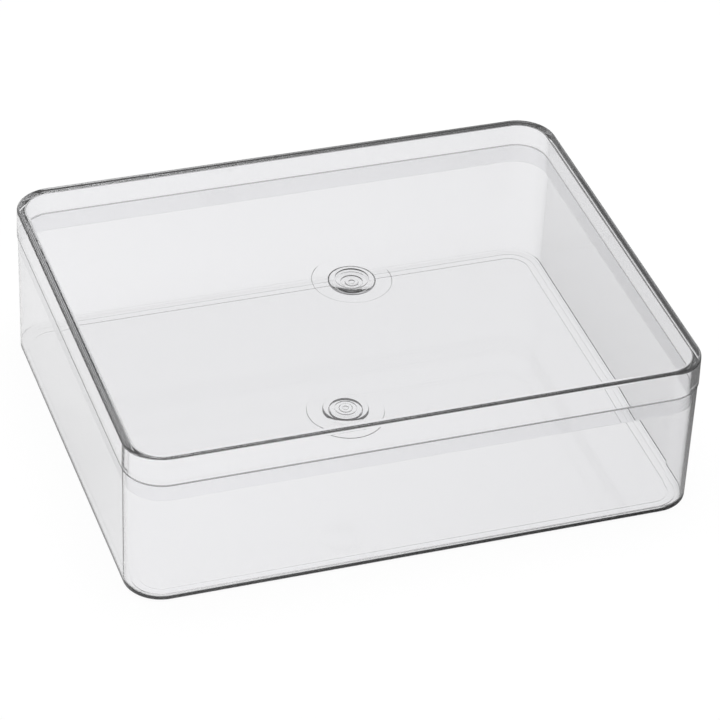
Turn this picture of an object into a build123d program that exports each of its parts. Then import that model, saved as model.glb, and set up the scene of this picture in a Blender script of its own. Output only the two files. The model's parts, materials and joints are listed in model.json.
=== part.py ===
from build123d import *
from math import radians, tan
import os

# Clear moulded storage box: an open box and a lid whose inner tongue drops into it.
# Millimetres, +Z up. The origin is at the middle of the ground that the foot ring stands on.

# Closed box
closed_height = 60.3
lid_length = 204.7
lid_width = 166.5
lid_corner_radius = 13.9

# Lid
lid_skirt_height = 11.1
lid_panel_thickness = 1.4
lid_overhang = 0.3
lid_draft = 0.8
lid_hollow_draft = 0.85
lid_top_edge_radius = 1.0
lid_low_edge_break = 0.2
lid_inner_edge_radius = 0.9

# Tongue of the lid
tongue_length = 6.9
tongue_gap = 0.12
tongue_root = 0.95
tongue_outer_draft = 1.35
tongue_inner_draft = 2.05
tongue_tip_break_share = 0.3

# Box
wall_thickness = 1.35
floor_thickness = 1.6
box_draft = 0.53
box_low_edge_radius = 1.0
box_inner_edge_radius = 0.9
rim_edge_break = 0.15

# Foot ring under the floor, measured in from the foot of the wall
foot_height = 0.3
foot_outer_inset = 3.3
foot_width = 2.6

# Gate well: a dish in the outer face, with a crowned boss on a round pad behind it
pad_radius = 14.1
pad_rise = 0.3
boss_radius = 8.35
boss_wall_height = 1.2
boss_crown = 0.8
boss_flat_radius = 4.6
boss_edge_radius = 0.7
dish_mouth_radius = 5.95
dish_floor_radius = 5.85
dish_depth = 1.45
dish_floor_break = 0.2
disc_radius = 3.9
disc_depth = 0.45
pip_radius = 2.4
pip_height = 0.4
pip_edge_break = 0.2
mark_radius = 1.1
mark_depth = 0.3

# Angle of the broken edges of the rim, the skirt and the tongue, in degrees
break_angle = 45

# Overrun of every cut past the face that it opens
overrun = 1.0

# Heights and plan sizes that follow
rim_height = closed_height - lid_skirt_height
wall_height = rim_height - foot_height
panel_underside = closed_height - lid_panel_thickness
floor_top = foot_height + floor_thickness

box_length = lid_length - 2 * lid_overhang
box_width = lid_width - 2 * lid_overhang
box_corner_radius = lid_corner_radius - lid_overhang
cavity_length = box_length - 2 * wall_thickness
cavity_width = box_width - 2 * wall_thickness
cavity_corner_radius = box_corner_radius - wall_thickness

wall_lean = (wall_height - rim_edge_break) * tan(radians(box_draft))
foot_inset = wall_lean + foot_outer_inset
foot_end = foot_inset + foot_width

tongue_plan_length = cavity_length - 2 * tongue_gap
tongue_plan_width = cavity_width - 2 * tongue_gap
tongue_corner_radius = cavity_corner_radius - tongue_gap

# The tongue thins towards its tip, whose two edges are broken at 45 degrees
tongue_taper = tan(radians(tongue_outer_draft)) + tan(radians(tongue_inner_draft))
tip_break = tongue_tip_break_share * (tongue_root - tongue_length * tongue_taper)
tongue_straight = tongue_length - tip_break
tip_outer_inset = tongue_straight * tan(radians(tongue_outer_draft))
hollow_tip_inset = tongue_root - tongue_straight * tan(radians(tongue_inner_draft))

boss_height = boss_wall_height + boss_crown


def gate_boss():
    """Raised back of a gate well, standing on the XY plane."""
    with BuildPart() as boss:
        with BuildSketch(Plane.XZ):
            with BuildLine():
                Polyline(
                    (0, 0),
                    (pad_radius, 0),
                    (pad_radius - pad_rise, pad_rise),
                    (boss_radius, pad_rise),
                    (boss_radius, boss_wall_height),
                    (boss_flat_radius, boss_height),
                    (0, boss_height),
                    close=True,
                )
            make_face()
            edge = vertices().sort_by_distance((boss_radius, boss_wall_height))[0]
            fillet(edge, boss_edge_radius)
        revolve(axis=Axis.Z)
    return boss.part


def gate_dish():
    """What the mould takes out of the outer face at z = 0, with the gate's pip left standing."""
    disc_floor = dish_depth + disc_depth
    pip_top = disc_floor - pip_height
    with BuildPart() as dish:
        with BuildSketch(Plane.XZ):
            with BuildLine():
                Polyline(
                    (0, -overrun),
                    (dish_mouth_radius, -overrun),
                    (dish_mouth_radius, 0),
                    (dish_floor_radius, dish_depth - dish_floor_break),
                    (dish_floor_radius - dish_floor_break, dish_depth),
                    (disc_radius, dish_depth),
                    (disc_radius, disc_floor),
                    (pip_radius, disc_floor),
                    (pip_radius, pip_top + pip_edge_break),
                    (pip_radius - pip_edge_break, pip_top),
                    (mark_radius, pip_top),
                    (mark_radius, pip_top + mark_depth),
                    (0, pip_top + mark_depth),
                    close=True,
                )
            make_face()
        revolve(axis=Axis.Z)
    return dish.part


def tongue_outline(inset):
    """Outline of the tongue at the height of the rim, moved inwards by this inset."""
    RectangleRounded(
        tongue_plan_length - 2 * inset,
        tongue_plan_width - 2 * inset,
        tongue_corner_radius - inset,
    )


def wall_outline(inset):
    """Outline of the box's wall just below its rim, moved inwards by this inset."""
    RectangleRounded(
        box_length - 2 * inset,
        box_width - 2 * inset,
        box_corner_radius - inset,
    )


def skirt_outline(inset):
    """Outline of the lid's skirt just above its lower edge, moved inwards by this inset."""
    RectangleRounded(
        lid_length - 2 * inset,
        lid_width - 2 * inset,
        lid_corner_radius - inset,
    )


rim_facing_down = Plane(origin=(0, 0, rim_height), z_dir=(0, 0, -1))
wall_top = rim_facing_down.offset(rim_edge_break)
rim_start = Plane.XY.offset(rim_height - rim_edge_break)

# Open box
with BuildPart() as box:
    with BuildSketch(wall_top):
        wall_outline(0)
    extrude(amount=wall_height - rim_edge_break, taper=box_draft)
    fillet(box.faces().sort_by(Axis.Z)[0].edges(), box_low_edge_radius)
    # Rim with its outer edge broken
    with BuildSketch(rim_start):
        wall_outline(0)
    extrude(amount=rim_edge_break, taper=break_angle)
    # Cavity, with the same draft, so that the wall is even, and the rim's inner edge broken
    with BuildSketch(wall_top):
        wall_outline(wall_thickness)
    extrude(amount=wall_height - rim_edge_break - floor_thickness, taper=box_draft, mode=Mode.SUBTRACT)
    with BuildSketch(rim_start):
        wall_outline(wall_thickness)
    extrude(amount=rim_edge_break, taper=-break_angle, mode=Mode.SUBTRACT)
    cavity_floor = box.faces().filter_by(Axis.Z).sort_by(Axis.Z)[1]
    fillet(cavity_floor.edges(), box_inner_edge_radius)
    # Foot ring
    with BuildSketch(Plane.XY):
        RectangleRounded(
            box_length - 2 * foot_inset,
            box_width - 2 * foot_inset,
            box_corner_radius - foot_inset,
        )
        RectangleRounded(
            box_length - 2 * foot_end,
            box_width - 2 * foot_end,
            box_corner_radius - foot_end,
            mode=Mode.SUBTRACT,
        )
    extrude(amount=foot_height)
    # Gate well in the middle of the floor, open below
    with Locations((0, 0, floor_top)):
        add(gate_boss())
    with Locations((0, 0, foot_height)):
        add(gate_dish(), mode=Mode.SUBTRACT)

box.part.label = "box"

# Lid
with BuildPart() as lid:
    with BuildSketch(Plane.XY.offset(rim_height + lid_low_edge_break)):
        skirt_outline(0)
    extrude(amount=lid_skirt_height - lid_low_edge_break, taper=lid_draft)
    fillet(lid.faces().sort_by(Axis.Z)[-1].edges(), lid_top_edge_radius)
    with BuildSketch(rim_facing_down.offset(-lid_low_edge_break)):
        skirt_outline(0)
    extrude(amount=lid_low_edge_break, taper=break_angle)
    # Tongue below the step that rests on the box's rim, with a broken tip
    with BuildSketch(rim_facing_down):
        tongue_outline(0)
    extrude(amount=tongue_straight, taper=tongue_outer_draft)
    with BuildSketch(rim_facing_down.offset(tongue_straight)):
        tongue_outline(tip_outer_inset)
    extrude(amount=tip_break, taper=break_angle)
    # Hollow of the skirt up to the panel, and of the tongue down to its tip
    with BuildSketch(Plane.XY.offset(rim_height)):
        tongue_outline(tongue_root)
    extrude(amount=panel_underside - rim_height, taper=lid_hollow_draft, mode=Mode.SUBTRACT)
    with BuildSketch(rim_facing_down):
        tongue_outline(tongue_root)
    extrude(amount=tongue_straight, taper=-tongue_inner_draft, mode=Mode.SUBTRACT)
    with BuildSketch(rim_facing_down.offset(tongue_straight)):
        tongue_outline(hollow_tip_inset)
    extrude(amount=tip_break, taper=-break_angle, mode=Mode.SUBTRACT)
    underside = lid.faces().filter_by(Axis.Z).sort_by(Axis.Z)[-2]
    fillet(underside.edges(), lid_inner_edge_radius)
    # Gate well in the middle of the panel, open above
    with Locations(Plane(origin=(0, 0, panel_underside), z_dir=(0, 0, -1))):
        add(gate_boss())
    with Locations(Plane(origin=(0, 0, closed_height), z_dir=(0, 0, -1))):
        add(gate_dish(), mode=Mode.SUBTRACT)

lid.part.label = "lid"

os.makedirs("parts", exist_ok=True)
export_step(box.part, "parts/box.step")
export_step(lid.part, "parts/lid.step")
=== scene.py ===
"""A clear moulded storage box with a lift-off lid, standing on a plain white studio ground."""

import json
import logging
from collections.abc import Callable
from dataclasses import dataclass, field
from enum import Enum
from math import cos, pi, radians, sin, tan

import bmesh
import bpy
from mathutils import Matrix, Vector

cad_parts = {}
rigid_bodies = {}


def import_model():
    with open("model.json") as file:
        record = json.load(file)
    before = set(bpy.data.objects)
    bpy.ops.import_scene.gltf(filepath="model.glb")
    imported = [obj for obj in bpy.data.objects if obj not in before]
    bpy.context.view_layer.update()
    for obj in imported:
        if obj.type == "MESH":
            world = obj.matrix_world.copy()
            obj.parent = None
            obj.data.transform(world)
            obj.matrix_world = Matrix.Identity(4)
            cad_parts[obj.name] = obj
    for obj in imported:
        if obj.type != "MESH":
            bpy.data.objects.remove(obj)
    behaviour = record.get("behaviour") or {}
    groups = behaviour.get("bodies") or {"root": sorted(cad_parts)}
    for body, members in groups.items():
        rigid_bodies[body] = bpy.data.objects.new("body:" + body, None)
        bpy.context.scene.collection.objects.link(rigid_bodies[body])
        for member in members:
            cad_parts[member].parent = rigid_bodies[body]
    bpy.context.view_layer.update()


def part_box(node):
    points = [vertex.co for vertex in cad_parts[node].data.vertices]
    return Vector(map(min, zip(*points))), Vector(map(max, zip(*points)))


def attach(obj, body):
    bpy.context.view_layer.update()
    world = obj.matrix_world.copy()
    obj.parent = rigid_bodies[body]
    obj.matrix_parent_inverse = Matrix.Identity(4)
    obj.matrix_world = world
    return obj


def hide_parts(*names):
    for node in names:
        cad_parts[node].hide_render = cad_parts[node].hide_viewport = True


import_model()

LOG = logging.getLogger("storage_box")
MM = 0.001
MERGE_DISTANCE = 1e-6
ROUND_PROFILE = 0.5
WHITE = "ffffff"

Point = tuple[float, float]


class Part(Enum):
    """The two mouldings, by the name of their node, which is also their body."""

    BOX = "box"
    LID = "lid"


def linear(hex_colour: str) -> tuple[float, float, float, float]:
    """Turns an sRGB hex colour into a linear one.

    Args:
        hex_colour: Six hex digits, such as "f2f4f5".

    Returns:
        Red, green, blue and an alpha of one.
    """
    channels = []
    for i in (0, 2, 4):
        value = int(hex_colour[i:i + 2], 16) / 255
        channels.append(value / 12.92 if value <= 0.04045 else ((value + 0.055) / 1.055) ** 2.4)
    return (*channels, 1.0)


def add_node(
    tree: bpy.types.NodeTree,
    kind: str,
    settings: dict[str | int, object] | None = None,
    links: dict[str | int, bpy.types.NodeSocket] | None = None,
) -> bpy.types.Node:
    """Adds a node with its settings and its incoming links.

    Args:
        tree: The node tree that gets the node.
        kind: The node's type, such as "ShaderNodeBump".
        settings: Values by the name or number of a socket, or by the name of a property.
        links: Outgoing sockets of other nodes, by the name or number of the socket that they feed.

    Returns:
        The new node.
    """
    node = tree.nodes.new(kind)
    for name, value in (settings or {}).items():
        if isinstance(name, int) or name in node.inputs:
            node.inputs[name].default_value = value
        else:
            setattr(node, name, value)
    for name, socket in (links or {}).items():
        tree.links.new(socket, node.inputs[name])
    return node


def new_material(name: str) -> bpy.types.Material:
    """Makes a material with an empty node tree.

    Args:
        name: The material's name.

    Returns:
        The new material.
    """
    material = bpy.data.materials.new(name)
    material.use_nodes = True
    material.node_tree.nodes.clear()
    return material


def deselect_all() -> None:
    """Leaves edit mode and deselects every object."""
    if bpy.context.object and bpy.context.object.mode != "OBJECT":
        bpy.ops.object.mode_set(mode="OBJECT")
    bpy.ops.object.select_all(action="DESELECT")


def select_vertices(test: Callable[[Vector], bool]) -> None:
    """Selects the vertices of the mesh in edit mode whose place passes a test.

    Args:
        test: A function of a vertex's place that says whether it is selected.
    """
    bpy.ops.mesh.select_mode(type="VERT")
    bpy.ops.mesh.select_all(action="DESELECT")
    data = bpy.context.object.data
    mesh = bmesh.from_edit_mesh(data)
    for vertex in mesh.verts:
        vertex.select = test(vertex.co)
    mesh.select_flush(True)
    bmesh.update_edit_mesh(data)


@dataclass(frozen=True)
class Camera:
    """The photograph's camera, worked out from the edges of the box.

    The eye, the lens and the sensor are in millimetres, and the angles in degrees.
    """

    eye: tuple[float, float, float] = (-358.72, -998.17, 793.67)
    azimuth: float = 19.998
    elevation: float = 35.925
    roll: float = 2.81
    lens: float = 184.8
    sensor: float = 36.0

    def build(self) -> bpy.types.Object:
        """Makes the camera and gives it to the scene.

        Returns:
            The camera object.
        """
        data = bpy.data.cameras.new("camera")
        data.lens = self.lens
        data.sensor_width = self.sensor
        camera = bpy.data.objects.new("camera", data)
        bpy.context.scene.collection.objects.link(camera)
        a, e = radians(self.azimuth), radians(self.elevation)
        forward = Vector((sin(a) * cos(e), cos(a) * cos(e), -sin(e)))
        turn = forward.to_track_quat("-Z", "Y").to_matrix()
        turn = turn @ Matrix.Rotation(radians(self.roll), 3, "Z")
        camera.matrix_world = Matrix.Translation(Vector(self.eye) * MM) @ turn.to_4x4()
        bpy.context.scene.camera = camera
        return camera


@dataclass(frozen=True)
class Studio:
    """White paper to stand on, a soft box above it and a dim room round it.

    The paper is plain white where it is seen straight or through the plastic. What the plastic mirrors
    is darker, and darkest beside the box on the right: painted shade, which draws the grey edges of a
    clear piece.
    The soft box lights them all and isn't seen in the plastic, where it would wash out the top.
    """

    # Paper: its size in metres, its drop below the foot ring in millimetres, and the share of it
    # that is plain white to the eye and not lit by the lamp, so that only a faint shadow shows
    floor_size: float = 6.0
    floor_drop: float = 0.15
    paper: str = "f4f4f4"
    plain_share: float = 0.95
    # Painted shade on mirrored paper: its strength where it is brightest and darkest, from where to
    # where it falls along X, in millimetres, and how far that place moves with the distance in front or
    # behind
    bright_share: float = 0.8
    dark_share: float = 0.13
    fall_start: float = -130.0
    fall_end: float = 130.0
    fall_slant: float = -0.5
    paper_mirrorings: float = 2.0
    # Mirrored room: its strength low and high, and how steeply upwards those two are seen
    low_room_share: float = 0.6
    high_room_share: float = 0.2
    low_room: float = 0.5
    high_room: float = 0.85
    room_mirrorings: float = 4.0
    room_light: float = 0.3
    # Soft box, in metres and watts
    lamp_size: float = 1.2
    lamp_height: float = 1.6
    lamp_power: float = 30.0
    lamp_in_plastic: bool = False
    mirrorings_followed: int = 12

    @staticmethod
    def white_with_painted_shade(
        tree: bpy.types.NodeTree, mirrored: bpy.types.NodeSocket, most: float
    ) -> bpy.types.NodeSocket:
        """Plain white, of which a share is left each time that the light is mirrored on its way: painted
        shade on what the plastic mirrors.

        Args:
            tree: The node tree of the paper or the room.
            mirrored: The socket of the share.
            most: The number of mirrorings after which it stays as it is.

        Returns:
            The socket of the strength.
        """
        path = add_node(tree, "ShaderNodeLightPath")
        count = add_node(
            tree, "ShaderNodeMath", {"operation": "MINIMUM", 1: most}, {0: path.outputs["Glossy Depth"]}
        )
        # Painted shade: the share is raised to the number of mirrorings
        fade = add_node(
            tree, "ShaderNodeMath", {"operation": "POWER"}, {0: mirrored, 1: count.outputs[0]}
        )
        return fade.outputs[0]

    def mirrored_room(self, tree: bpy.types.NodeTree) -> bpy.types.NodeSocket:
        """How bright the mirrored room looks, which falls from its walls up to its dark ceiling.

        Args:
            tree: The node tree of the room.

        Returns:
            The socket of the share.
        """
        place = add_node(tree, "ShaderNodeTexCoord")
        parts = add_node(tree, "ShaderNodeSeparateXYZ", links={0: place.outputs["Generated"]})
        fall = add_node(
            tree,
            "ShaderNodeMapRange",
            {
                "From Min": self.low_room,
                "From Max": self.high_room,
                "To Min": self.low_room_share,
                "To Max": self.high_room_share,
            },
            {"Value": parts.outputs["Z"]},
        )
        return fall.outputs["Result"]

    def painted_paper_shade(self, tree: bpy.types.NodeTree) -> bpy.types.NodeSocket:
        """Painted shade on mirrored paper, which falls from left to right and most beside the box.

        Args:
            tree: The node tree of the paper.

        Returns:
            The socket of the share.
        """
        place = add_node(tree, "ShaderNodeTexCoord")
        parts = add_node(tree, "ShaderNodeSeparateXYZ", links={0: place.outputs["Object"]})
        aside = add_node(tree, "ShaderNodeMath", {"operation": "ABSOLUTE"}, {0: parts.outputs["Y"]})
        slanted = add_node(
            tree,
            "ShaderNodeMath",
            {"operation": "MULTIPLY_ADD", 1: self.fall_slant},
            {0: aside.outputs[0], 2: parts.outputs["X"]},
        )
        fall = add_node(
            tree,
            "ShaderNodeMapRange",
            {
                "From Min": self.fall_start * MM,
                "From Max": self.fall_end * MM,
                "To Min": self.bright_share,
                "To Max": self.dark_share,
            },
            {"Value": slanted.outputs[0]},
        )
        return fall.outputs["Result"]

    @staticmethod
    def seen(tree: bpy.types.NodeTree) -> bpy.types.NodeSocket:
        """One for rays that the camera follows straight, mirrored or through plastic, zero for others.

        Args:
            tree: The node tree of the paper or the room.

        Returns:
            The socket of the one or zero.
        """
        path = add_node(tree, "ShaderNodeLightPath")
        either = add_node(
            tree,
            "ShaderNodeMath",
            {"operation": "MAXIMUM"},
            {0: path.outputs["Is Camera Ray"], 1: path.outputs["Is Glossy Ray"]},
        )
        both = add_node(
            tree,
            "ShaderNodeMath",
            {"operation": "MAXIMUM"},
            {0: either.outputs[0], 1: path.outputs["Is Transmission Ray"]},
        )
        return both.outputs[0]

    def build_floor(self) -> None:
        """Lays the paper."""
        material = new_material("white_paper")
        tree = material.node_tree
        share = add_node(
            tree, "ShaderNodeMath", {"operation": "MULTIPLY", 1: self.plain_share}, {0: self.seen(tree)}
        )
        diffuse = add_node(tree, "ShaderNodeBsdfDiffuse", {"Color": linear(self.paper)})
        # The paper's emission is painted shade where the plastic mirrors it: darker with each mirroring
        # and darkest beside the box on the right
        plain = add_node(
            tree,
            "ShaderNodeEmission",
            {"Color": linear(WHITE)},
            {"Strength": self.white_with_painted_shade(tree, self.painted_paper_shade(tree), self.paper_mirrorings)},
        )
        mix = add_node(
            tree,
            "ShaderNodeMixShader",
            links={0: share.outputs[0], 1: diffuse.outputs[0], 2: plain.outputs[0]},
        )
        add_node(tree, "ShaderNodeOutputMaterial", links={"Surface": mix.outputs[0]})
        deselect_all()
        place = (0, 0, -self.floor_drop * MM)
        bpy.ops.mesh.primitive_plane_add(size=self.floor_size, location=place)
        floor = bpy.context.object
        floor.name = floor.data.name = "floor"
        floor.data.materials.append(material)

    def build_lamp(self) -> None:
        """Hangs the soft box over the box."""
        lamp = bpy.data.lights.new("soft_box", "AREA")
        lamp.size = self.lamp_size
        lamp.energy = self.lamp_power
        holder = bpy.data.objects.new("soft_box", lamp)
        holder.location = (0, 0, self.lamp_height)
        holder.visible_glossy = holder.visible_transmission = self.lamp_in_plastic
        bpy.context.scene.collection.objects.link(holder)

    def build_room(self) -> None:
        """Sets the room's dim light, which the camera sees as plain white."""
        world = bpy.data.worlds.new("room")
        bpy.context.scene.world = world
        world.use_nodes = True
        tree = world.node_tree
        tree.nodes.clear()
        dim = add_node(
            tree, "ShaderNodeBackground", {"Color": linear(WHITE), "Strength": self.room_light}
        )
        plain = add_node(
            tree,
            "ShaderNodeBackground",
            {"Color": linear(WHITE)},
            {"Strength": self.white_with_painted_shade(tree, self.mirrored_room(tree), self.room_mirrorings)},
        )
        mix = add_node(
            tree,
            "ShaderNodeMixShader",
            links={0: self.seen(tree), 1: dim.outputs[0], 2: plain.outputs[0]},
        )
        add_node(tree, "ShaderNodeOutputWorld", links={"Surface": mix.outputs[0]})

    def build(self) -> None:
        """Makes the paper, the lamp and the room."""
        self.build_floor()
        self.build_lamp()
        self.build_room()
        # Light that runs down inside a wall is mirrored more often than Blender's usual four times
        bpy.context.scene.cycles.glossy_bounces = self.mirrorings_followed


@dataclass(frozen=True)
class ClearPet:
    """PET, injection-moulded in a polished mould: clear and glossy, with edges greyed by painted shade.

    The polish gives sharp mirrored edges. The mould's slow waviness makes them swim a little, handling
    leaves faint patches of softer gloss, and a trace of haze lights up the light that runs in the walls.
    Lengths are in millimetres.
    """

    name: str = "clear_moulded_pet"
    clear_tint: str = "fefeff"
    # Edge tint: painted shade mixed into the colour where the surface is seen edge on. It stands in for
    # dark surroundings seen in the edges, with a little of the real darkening along longer paths through
    # the wall
    edge_shade_tint: str = "1c1f26"
    edge_blend: float = 0.5
    edge_power: float = 20.0
    ior: float = 1.575
    clearness: float = 0.98
    polish: float = 0.0
    handled: float = 0.006
    handled_from: float = 0.5
    handled_to: float = 0.8
    handling_size: float = 30.0
    handling_detail: float = 3.0
    wave_length: float = 25.0
    wave_detail: float = 0.0
    wave_height: float = 0.003

    def noise(self, tree: bpy.types.NodeTree, size: float, detail: float) -> bpy.types.NodeSocket:
        """A cloudy pattern on the piece.

        Args:
            tree: The node tree of the material.
            size: The distance from one patch to the next, in millimetres.
            detail: The number of finer layers.

        Returns:
            The socket of the pattern, from nothing to one.
        """
        place = add_node(tree, "ShaderNodeTexCoord")
        pattern = add_node(
            tree,
            "ShaderNodeTexNoise",
            {"Scale": 1 / (size * MM), "Detail": detail},
            {"Vector": place.outputs["Object"]},
        )
        return pattern.outputs[0]

    def build(self) -> bpy.types.Material:
        """Makes the material.

        Returns:
            The material.
        """
        material = new_material(self.name)
        tree = material.node_tree
        # Painted shade: the colour turns to the edge tint where the surface is seen edge on
        facing = add_node(tree, "ShaderNodeLayerWeight", {"Blend": self.edge_blend})
        edge = add_node(
            tree,
            "ShaderNodeMath",
            {"operation": "POWER", 1: self.edge_power},
            {0: facing.outputs["Facing"]},
        )
        tint = add_node(
            tree,
            "ShaderNodeMix",
            {"data_type": "RGBA", 6: linear(self.clear_tint), 7: linear(self.edge_shade_tint)},
            {0: edge.outputs[0]},
        )
        gloss = add_node(
            tree,
            "ShaderNodeMapRange",
            {
                "From Min": self.handled_from,
                "From Max": self.handled_to,
                "To Min": self.polish,
                "To Max": self.handled,
            },
            {"Value": self.noise(tree, self.handling_size, self.handling_detail)},
        )
        waves = add_node(
            tree,
            "ShaderNodeBump",
            {"Distance": self.wave_height * MM},
            {"Height": self.noise(tree, self.wave_length, self.wave_detail)},
        )
        plastic = add_node(
            tree,
            "ShaderNodeBsdfPrincipled",
            {"IOR": self.ior, "Transmission Weight": self.clearness},
            {
                "Base Color": tint.outputs[2],
                "Roughness": gloss.outputs["Result"],
                "Normal": waves.outputs["Normal"],
            },
        )
        add_node(tree, "ShaderNodeOutputMaterial", links={"Surface": plastic.outputs[0]})
        return material


@dataclass(frozen=True)
class Bend:
    """A rounded corner of a section line, in millimetres."""

    radius: float
    steps: int = 6


@dataclass
class SectionLine:
    """A line of straight runs with rounded corners, on the upright plane through the middle of a side.

    Each point is its distance from the middle and its height, in millimetres.
    """

    points: list[Point]
    bends: dict[int, Bend] = field(default_factory=dict)

    def tangent(self, index: int) -> float:
        """Length that a corner's bend takes from each run beside it.

        Args:
            index: The number of the corner's point.

        Returns:
            The length in millimetres.
        """
        before, at, after = (Vector(self.points[index + i]) for i in (-1, 0, 1))
        turn = (at - before).angle(after - at)
        return self.bends[index].radius * tan(turn / 2)

    def draw(self) -> None:
        """Adds the line to the mesh in edit mode by extruding a vertex, and leaves it selected."""
        places = [Vector((0, distance, height)) * MM for distance, height in self.points]
        bpy.ops.mesh.select_mode(type="VERT")
        bpy.ops.mesh.select_all(action="DESELECT")
        bpy.ops.mesh.primitive_plane_add(size=MM)
        bpy.ops.mesh.merge(type="CENTER")
        bpy.ops.transform.translate(value=places[0])
        for here, there in zip(places, places[1:]):
            bpy.ops.mesh.extrude_vertices_move(TRANSFORM_OT_translate={"value": there - here})
        for index, bend in self.bends.items():
            select_vertices(lambda place, at=places[index]: (place - at).length < MERGE_DISTANCE)
            bpy.ops.mesh.bevel(
                offset_type="OFFSET",
                offset=self.tangent(index) * MM,
                segments=bend.steps,
                profile=ROUND_PROFILE,
                affect="VERTICES",
            )
        bpy.ops.mesh.select_linked()
        bpy.ops.mesh.select_mode(type="EDGE")


@dataclass
class Outline:
    """The rounded rectangle that both mouldings follow, as half sizes in millimetres.

    The box's wall starts at the overhang of the lid's skirt, measured in from the rectangle.
    """

    half_length: float
    half_width: float
    radius: float = 13.9
    overhang: float = 0.3
    wall: float = 1.35
    corner_steps: int = 32
    well_steps: int = 32

    def sweep(self) -> None:
        """Takes the selected line along the outline of one quarter, from the middle of a long side."""
        along, across = self.half_length - self.radius, self.half_width - self.radius
        bpy.ops.mesh.extrude_region_move(TRANSFORM_OT_translate={"value": (along * MM, 0, 0)})
        bpy.ops.mesh.spin(
            steps=self.corner_steps, angle=pi / 2, center=(along * MM, across * MM, 0), axis=(0, 0, 1)
        )
        bpy.ops.mesh.extrude_region_move(TRANSFORM_OT_translate={"value": (0, -across * MM, 0)})

    def turn(self) -> None:
        """Turns the selected line about the upright axis through one quarter."""
        bpy.ops.mesh.spin(steps=self.well_steps, angle=pi / 2, center=(0, 0, 0), axis=(0, 0, 1))

    @staticmethod
    def fill_flat(height: float, inner: float, outer_x: float, outer_y: float) -> None:
        """Fills the flat sheet between a turned line and a swept one with a single face.

        Args:
            height: The height of the sheet.
            inner: The distance from the middle at which the turned line ends.
            outer_x: The distance along X at which the swept line ends.
            outer_y: The distance along Y at which the swept line ends.
        """
        for near, far in (
            (Vector((inner, 0, height)), Vector((outer_x, 0, height))),
            (Vector((0, inner, height)), Vector((0, outer_y, height))),
        ):
            ends = (near * MM, far * MM)
            select_vertices(lambda place: min((place - end).length for end in ends) < MERGE_DISTANCE)
            bpy.ops.mesh.edge_face_add()
        bpy.ops.mesh.select_mode(type="EDGE")
        bpy.ops.mesh.select_all(action="DESELECT")
        data = bpy.context.object.data
        mesh = bmesh.from_edit_mesh(data)
        for edge in mesh.edges:
            level = all(abs(v.co.z - height * MM) < MERGE_DISTANCE for v in edge.verts)
            on_seam = any(all(abs(v.co[i]) < MERGE_DISTANCE for v in edge.verts) for i in (0, 1))
            edge.select = level and (edge.is_wire or (edge.is_boundary and not on_seam))
        bmesh.update_edit_mesh(data)
        bpy.ops.mesh.edge_face_add()


@dataclass
class GateWell:
    """A dish in the outer face, with a crowned boss on a round pad behind it, in millimetres.

    Depths are measured into the sheet from its outer face, and heights from its inner face.
    """

    pad_radius: float = 14.1
    pad_rise: float = 0.15
    boss_radius: float = 8.35
    boss_wall_height: float = 1.2
    boss_crown: float = 0.8
    boss_flat_radius: float = 4.6
    boss_bend: Bend = Bend(0.7)
    dish_mouth_radius: float = 5.95
    dish_floor_radius: float = 5.85
    dish_depth: float = 1.45
    dish_floor_break: float = 0.2
    disc_radius: float = 3.9
    disc_depth: float = 0.45
    pip_radius: float = 2.4
    pip_height: float = 0.4
    pip_break: float = 0.2
    mark_radius: float = 1.1
    mark_depth: float = 0.3

    def dish(self, face: float, inward: int) -> SectionLine:
        """The line of the outer side, from the middle out to the sheet's outer face.

        Args:
            face: The height of the outer face.
            inward: 1 where the well goes up into the sheet, -1 where it goes down.

        Returns:
            The line, which starts on the well's axis.
        """
        disc_floor = self.dish_depth + self.disc_depth
        pip_top = disc_floor - self.pip_height
        steps = [
            (0, pip_top + self.mark_depth),
            (self.mark_radius, pip_top + self.mark_depth),
            (self.mark_radius, pip_top),
            (self.pip_radius - self.pip_break, pip_top),
            (self.pip_radius, pip_top + self.pip_break),
            (self.pip_radius, disc_floor),
            (self.disc_radius, disc_floor),
            (self.disc_radius, self.dish_depth),
            (self.dish_floor_radius - self.dish_floor_break, self.dish_depth),
            (self.dish_floor_radius, self.dish_depth - self.dish_floor_break),
            (self.dish_mouth_radius, 0),
        ]
        return SectionLine([(d, face + inward * depth) for d, depth in steps])

    def boss(self, face: float, inward: int) -> SectionLine:
        """The line of the inner side, from the middle out to the sheet's inner face.

        Args:
            face: The height of the inner face.
            inward: 1 where the boss stands up from it, -1 where it hangs down.

        Returns:
            The line, which starts on the well's axis.
        """
        steps = [
            (0, self.boss_wall_height + self.boss_crown),
            (self.boss_flat_radius, self.boss_wall_height + self.boss_crown),
            (self.boss_radius, self.boss_wall_height),
            (self.boss_radius, self.pad_rise),
            (self.pad_radius - self.pad_rise, self.pad_rise),
            (self.pad_radius, 0),
        ]
        return SectionLine([(d, face + inward * height) for d, height in steps], {2: self.boss_bend})


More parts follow.
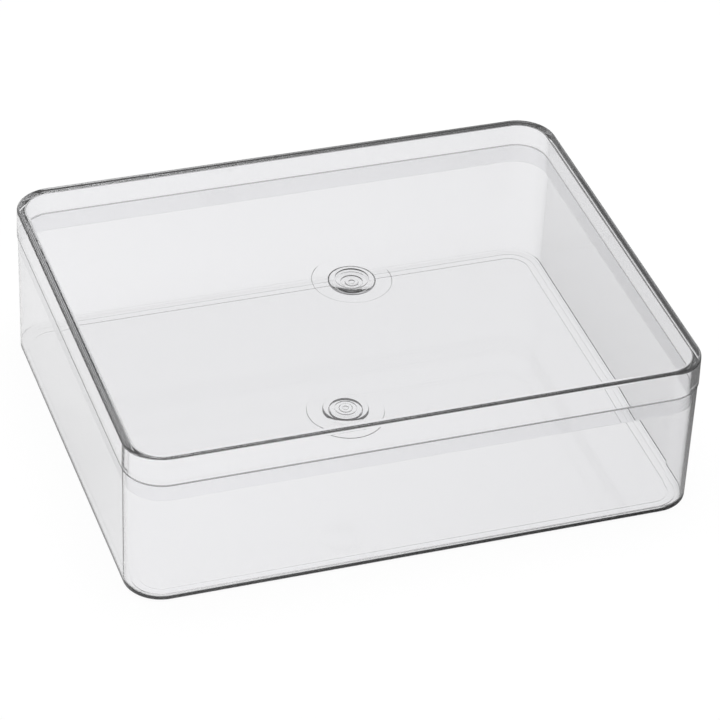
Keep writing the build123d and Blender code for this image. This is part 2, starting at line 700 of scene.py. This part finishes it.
@dataclass
class Moulding:
    """One clear moulding with rounded corners and a gate well in the middle of its sheet.

    Its section line starts and ends on the sheet, at the sheet's inset from the outline.
    """

    part: Part
    outline: Outline
    well: GateWell
    finish: bpy.types.Material
    sheet_inset: float = 8.0
    smooth_angle: float = 32.0
    flat_weight: int = 100

    def section(self) -> SectionLine:
        """The line of the wall's section, from the sheet's inner face round to its outer face."""
        raise NotImplementedError

    def well_lines(self) -> list[SectionLine]:
        """The two lines of the gate well."""
        raise NotImplementedError

    def build(self) -> bpy.types.Object:
        """Models the moulding, dresses it and lets it stand for its node.

        Returns:
            The finished piece.
        """
        deselect_all()
        bpy.ops.mesh.primitive_plane_add(size=MM)
        piece = bpy.context.object
        piece.name = piece.data.name = f"clear_{self.part.value}"
        bpy.ops.object.mode_set(mode="EDIT")
        bpy.ops.mesh.delete(type="VERT")
        self.section().draw()
        self.outline.sweep()
        for well_line in self.well_lines():
            well_line.draw()
            self.outline.turn()
            inner, height = well_line.points[-1]
            outer_x = self.outline.half_length - self.sheet_inset
            outer_y = self.outline.half_width - self.sheet_inset
            self.outline.fill_flat(height, inner, outer_x, outer_y)
        bpy.ops.object.mode_set(mode="OBJECT")
        self.finish_mesh(piece)
        piece.data.materials.append(self.finish)
        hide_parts(self.part.value)
        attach(piece, self.part.value)
        LOG.info("%s: %d faces", piece.name, len(piece.data.polygons))
        return piece

    def finish_mesh(self, piece: bpy.types.Object) -> None:
        """Mirrors the quarter, closes it, turns its faces outwards and smooths its rounds.

        Args:
            piece: The quarter, which becomes the whole moulding.
        """
        mirror = piece.modifiers.new("quarters", "MIRROR")
        mirror.use_axis = (True, True, False)
        mirror.merge_threshold = MERGE_DISTANCE
        bpy.ops.object.modifier_apply(modifier=mirror.name)
        bpy.ops.object.mode_set(mode="EDIT")
        bpy.ops.mesh.select_all(action="SELECT")
        bpy.ops.mesh.remove_doubles(threshold=MERGE_DISTANCE)
        bpy.ops.mesh.normals_make_consistent(inside=False)
        bpy.ops.object.mode_set(mode="OBJECT")
        bpy.ops.object.shade_smooth_by_angle(angle=radians(self.smooth_angle))
        weighted = piece.modifiers.new("flat_faces_stay_flat", "WEIGHTED_NORMAL")
        weighted.keep_sharp = True
        weighted.weight = self.flat_weight
        bpy.ops.object.modifier_apply(modifier=weighted.name)


@dataclass
class OpenBox(Moulding):
    """The open box: floor on a foot ring, and a drafted wall up to the rim."""

    draft: float = 0.53
    rim_height: float = 49.2
    rim_break: float = 0.15
    foot_height: float = 0.3
    floor: float = 1.6
    low_bend: Bend = Bend(1.0, 8)
    inner_bend: Bend = Bend(0.9, 8)
    foot_outer: float = 3.3
    foot_width: float = 2.6

    def section(self) -> SectionLine:
        """The line of the wall's section, from the floor's inner face round to its underside.

        Returns:
            The line, with the rounds at the wall's foot and inside it.
        """
        lean = tan(radians(self.draft))
        floor_top = self.foot_height + self.floor
        rim_low = self.rim_height - self.rim_break

        def inset_at(start: float, height: float) -> float:
            """Inset of a drafted face at a height, from its inset just below the rim."""
            return start + (rim_low - height) * lean

        outer = self.outline.overhang
        inner = outer + self.outline.wall
        foot = inset_at(outer, self.foot_height)
        insets = [
            (self.sheet_inset, floor_top),
            (inset_at(inner, floor_top), floor_top),
            (inner, rim_low),
            (inner - self.rim_break, self.rim_height),
            (outer + self.rim_break, self.rim_height),
            (outer, rim_low),
            (foot, self.foot_height),
            (foot + self.foot_outer, self.foot_height),
            (foot + self.foot_outer, 0),
            (foot + self.foot_outer + self.foot_width, 0),
            (foot + self.foot_outer + self.foot_width, self.foot_height),
            (self.sheet_inset, self.foot_height),
        ]
        half = self.outline.half_width
        return SectionLine([(half - d, z) for d, z in insets], {6: self.low_bend, 1: self.inner_bend})

    def well_lines(self) -> list[SectionLine]:
        """The gate well's lines: the boss above the floor and the dish in its underside."""
        return [self.well.boss(self.foot_height + self.floor, 1), self.well.dish(self.foot_height, 1)]


@dataclass
class Lid(Moulding):
    """The lid: a flat panel, a skirt that seats on the box's rim and a tongue inside its wall."""

    top: float = 60.3
    panel: float = 1.4
    skirt: float = 11.1
    seat_gap: float = 0.03
    draft: float = 0.8
    tongue_gap: float = 0.12
    tongue: float = 6.9
    root: float = 0.95
    tongue_outer_draft: float = 1.35
    tongue_inner_draft: float = 2.05
    hollow_draft: float = 0.85
    tip_break_share: float = 0.3
    low_break: float = 0.2
    top_bend: Bend = Bend(1.0, 8)
    inner_bend: Bend = Bend(0.9, 8)

    def section(self) -> SectionLine:
        """The line of the wall's section, from the panel's underside round to its top face.

        Returns:
            The line, with the rounds at the panel's edge and under it.
        """
        seat = self.top - self.skirt + self.seat_gap
        tip = self.top - self.skirt - self.tongue
        underside = self.top - self.panel
        lean, hollow_lean = tan(radians(self.draft)), tan(radians(self.hollow_draft))
        outer_lean, inner_lean = (
            tan(radians(draft)) for draft in (self.tongue_outer_draft, self.tongue_inner_draft)
        )
        tip_break = self.tip_break_share * (self.root - self.tongue * (outer_lean + inner_lean))
        straight = self.tongue - tip_break
        outer = self.outline.overhang + self.outline.wall + self.tongue_gap
        inner = outer + self.root
        end_outer, end_inner = outer + straight * outer_lean, inner - straight * inner_lean
        skirt_low = self.top - self.skirt + self.low_break
        insets = [
            (self.sheet_inset, underside),
            (inner + (underside - seat) * hollow_lean, underside),
            (inner, seat),
            (end_inner, tip + tip_break),
            (end_inner - tip_break, tip),
            (end_outer + tip_break, tip),
            (end_outer, tip + tip_break),
            (outer, seat),
            (self.low_break, seat),
            (0, skirt_low),
            ((self.skirt - self.low_break) * lean, self.top),
            (self.sheet_inset, self.top),
        ]
        half = self.outline.half_width
        return SectionLine([(half - d, z) for d, z in insets], {10: self.top_bend, 1: self.inner_bend})

    def well_lines(self) -> list[SectionLine]:
        """The gate well's lines: the boss under the panel and the dish in its top."""
        return [self.well.boss(self.top - self.panel, -1), self.well.dish(self.top, -1)]


def main() -> None:
    """Builds the camera, the studio and the two mouldings."""
    logging.basicConfig(level=logging.INFO)
    bpy.context.scene.view_settings.view_transform = "Standard"
    Camera().build()
    Studio().build()
    pet = ClearPet().build()
    low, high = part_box(Part.LID.value)
    outline = Outline((high.x - low.x) / 2 / MM, (high.y - low.y) / 2 / MM)
    well = GateWell()
    OpenBox(Part.BOX, outline, well, pet).build()
    Lid(Part.LID, outline, well, pet).build()


if __name__ == "__main__":
    main()
